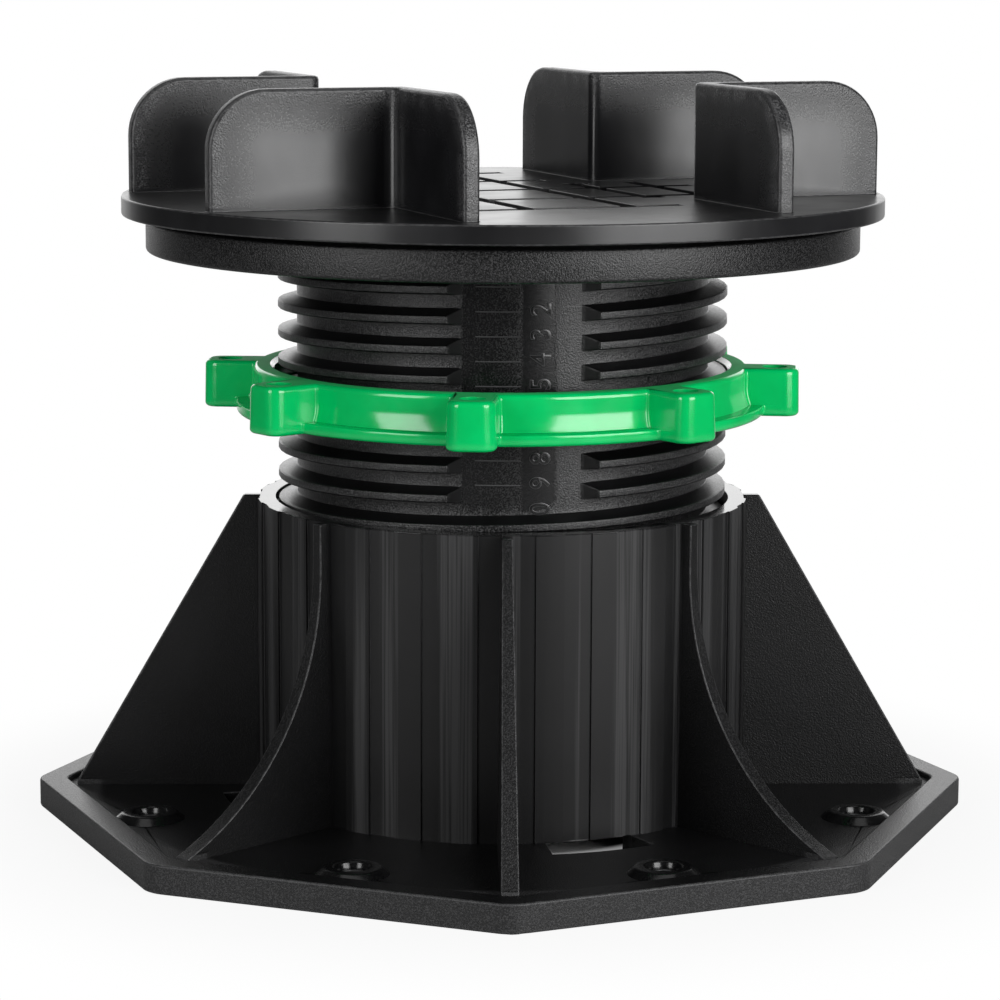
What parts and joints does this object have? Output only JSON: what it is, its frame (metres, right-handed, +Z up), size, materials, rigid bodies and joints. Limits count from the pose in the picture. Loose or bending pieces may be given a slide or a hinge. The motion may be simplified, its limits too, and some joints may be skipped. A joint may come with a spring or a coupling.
{
  "type": "adjustable deck block",
  "caption": "Screw-jack pedestal for a deck joist: octagonal ribbed foot, coarse threaded stem with a height scale, green lock ring and a turning head with crossing joist channels.",
  "frame": {"origin": "centre of the foot's underside, on the screw axis", "axes": "+Z up along the screw axis, +X along the narrow joist channel, +Y along the wide joist channel"},
  "size_m": [0.187, 0.187, 0.156],
  "materials": {
    "black_base": "moulded black polypropylene, semi-gloss with grained ribs",
    "black_stem": "moulded black polypropylene, grained crests",
    "green_ring": "moulded glossy green plastic",
    "black_head": "moulded black polypropylene, semi-gloss with a grained rim",
    "black_keeper": "moulded black polypropylene"
  },
  "bodies": {
    "base": {"base": "black_base"},
    "riser": {"head_keeper": "black_keeper"},
    "stem": {"jack_stem": "black_stem"},
    "head": {"joist_head": "black_head"},
    "ring": {"lock_ring": "green_ring"}
  },
  "joints": [
    {"name": "height_adjust", "type": "slide", "parent": "base", "child": "riser", "axis": [0, 0, 1], "range_m": [-0.02, 0.002]},
    {"name": "stem_turn", "type": "hinge", "parent": "riser", "child": "stem", "pos_m": [0, 0, 0.09], "axis": [0, 0, 1], "range_deg": [-1210, 130]},
    {"name": "head_swivel", "type": "hinge", "parent": "riser", "child": "head", "pos_m": [0, 0, 0.13], "axis": [0, 0, 1], "continuous": true},
    {"name": "ring_travel", "type": "slide", "parent": "base", "child": "ring", "axis": [0, 0, 1], "range_m": [-0.0175, 0.0035]}
  ],
  "couplings": [
    {"joint": "stem_turn", "follows": "height_adjust", "rad_per_m": 1047.2}
  ]
}
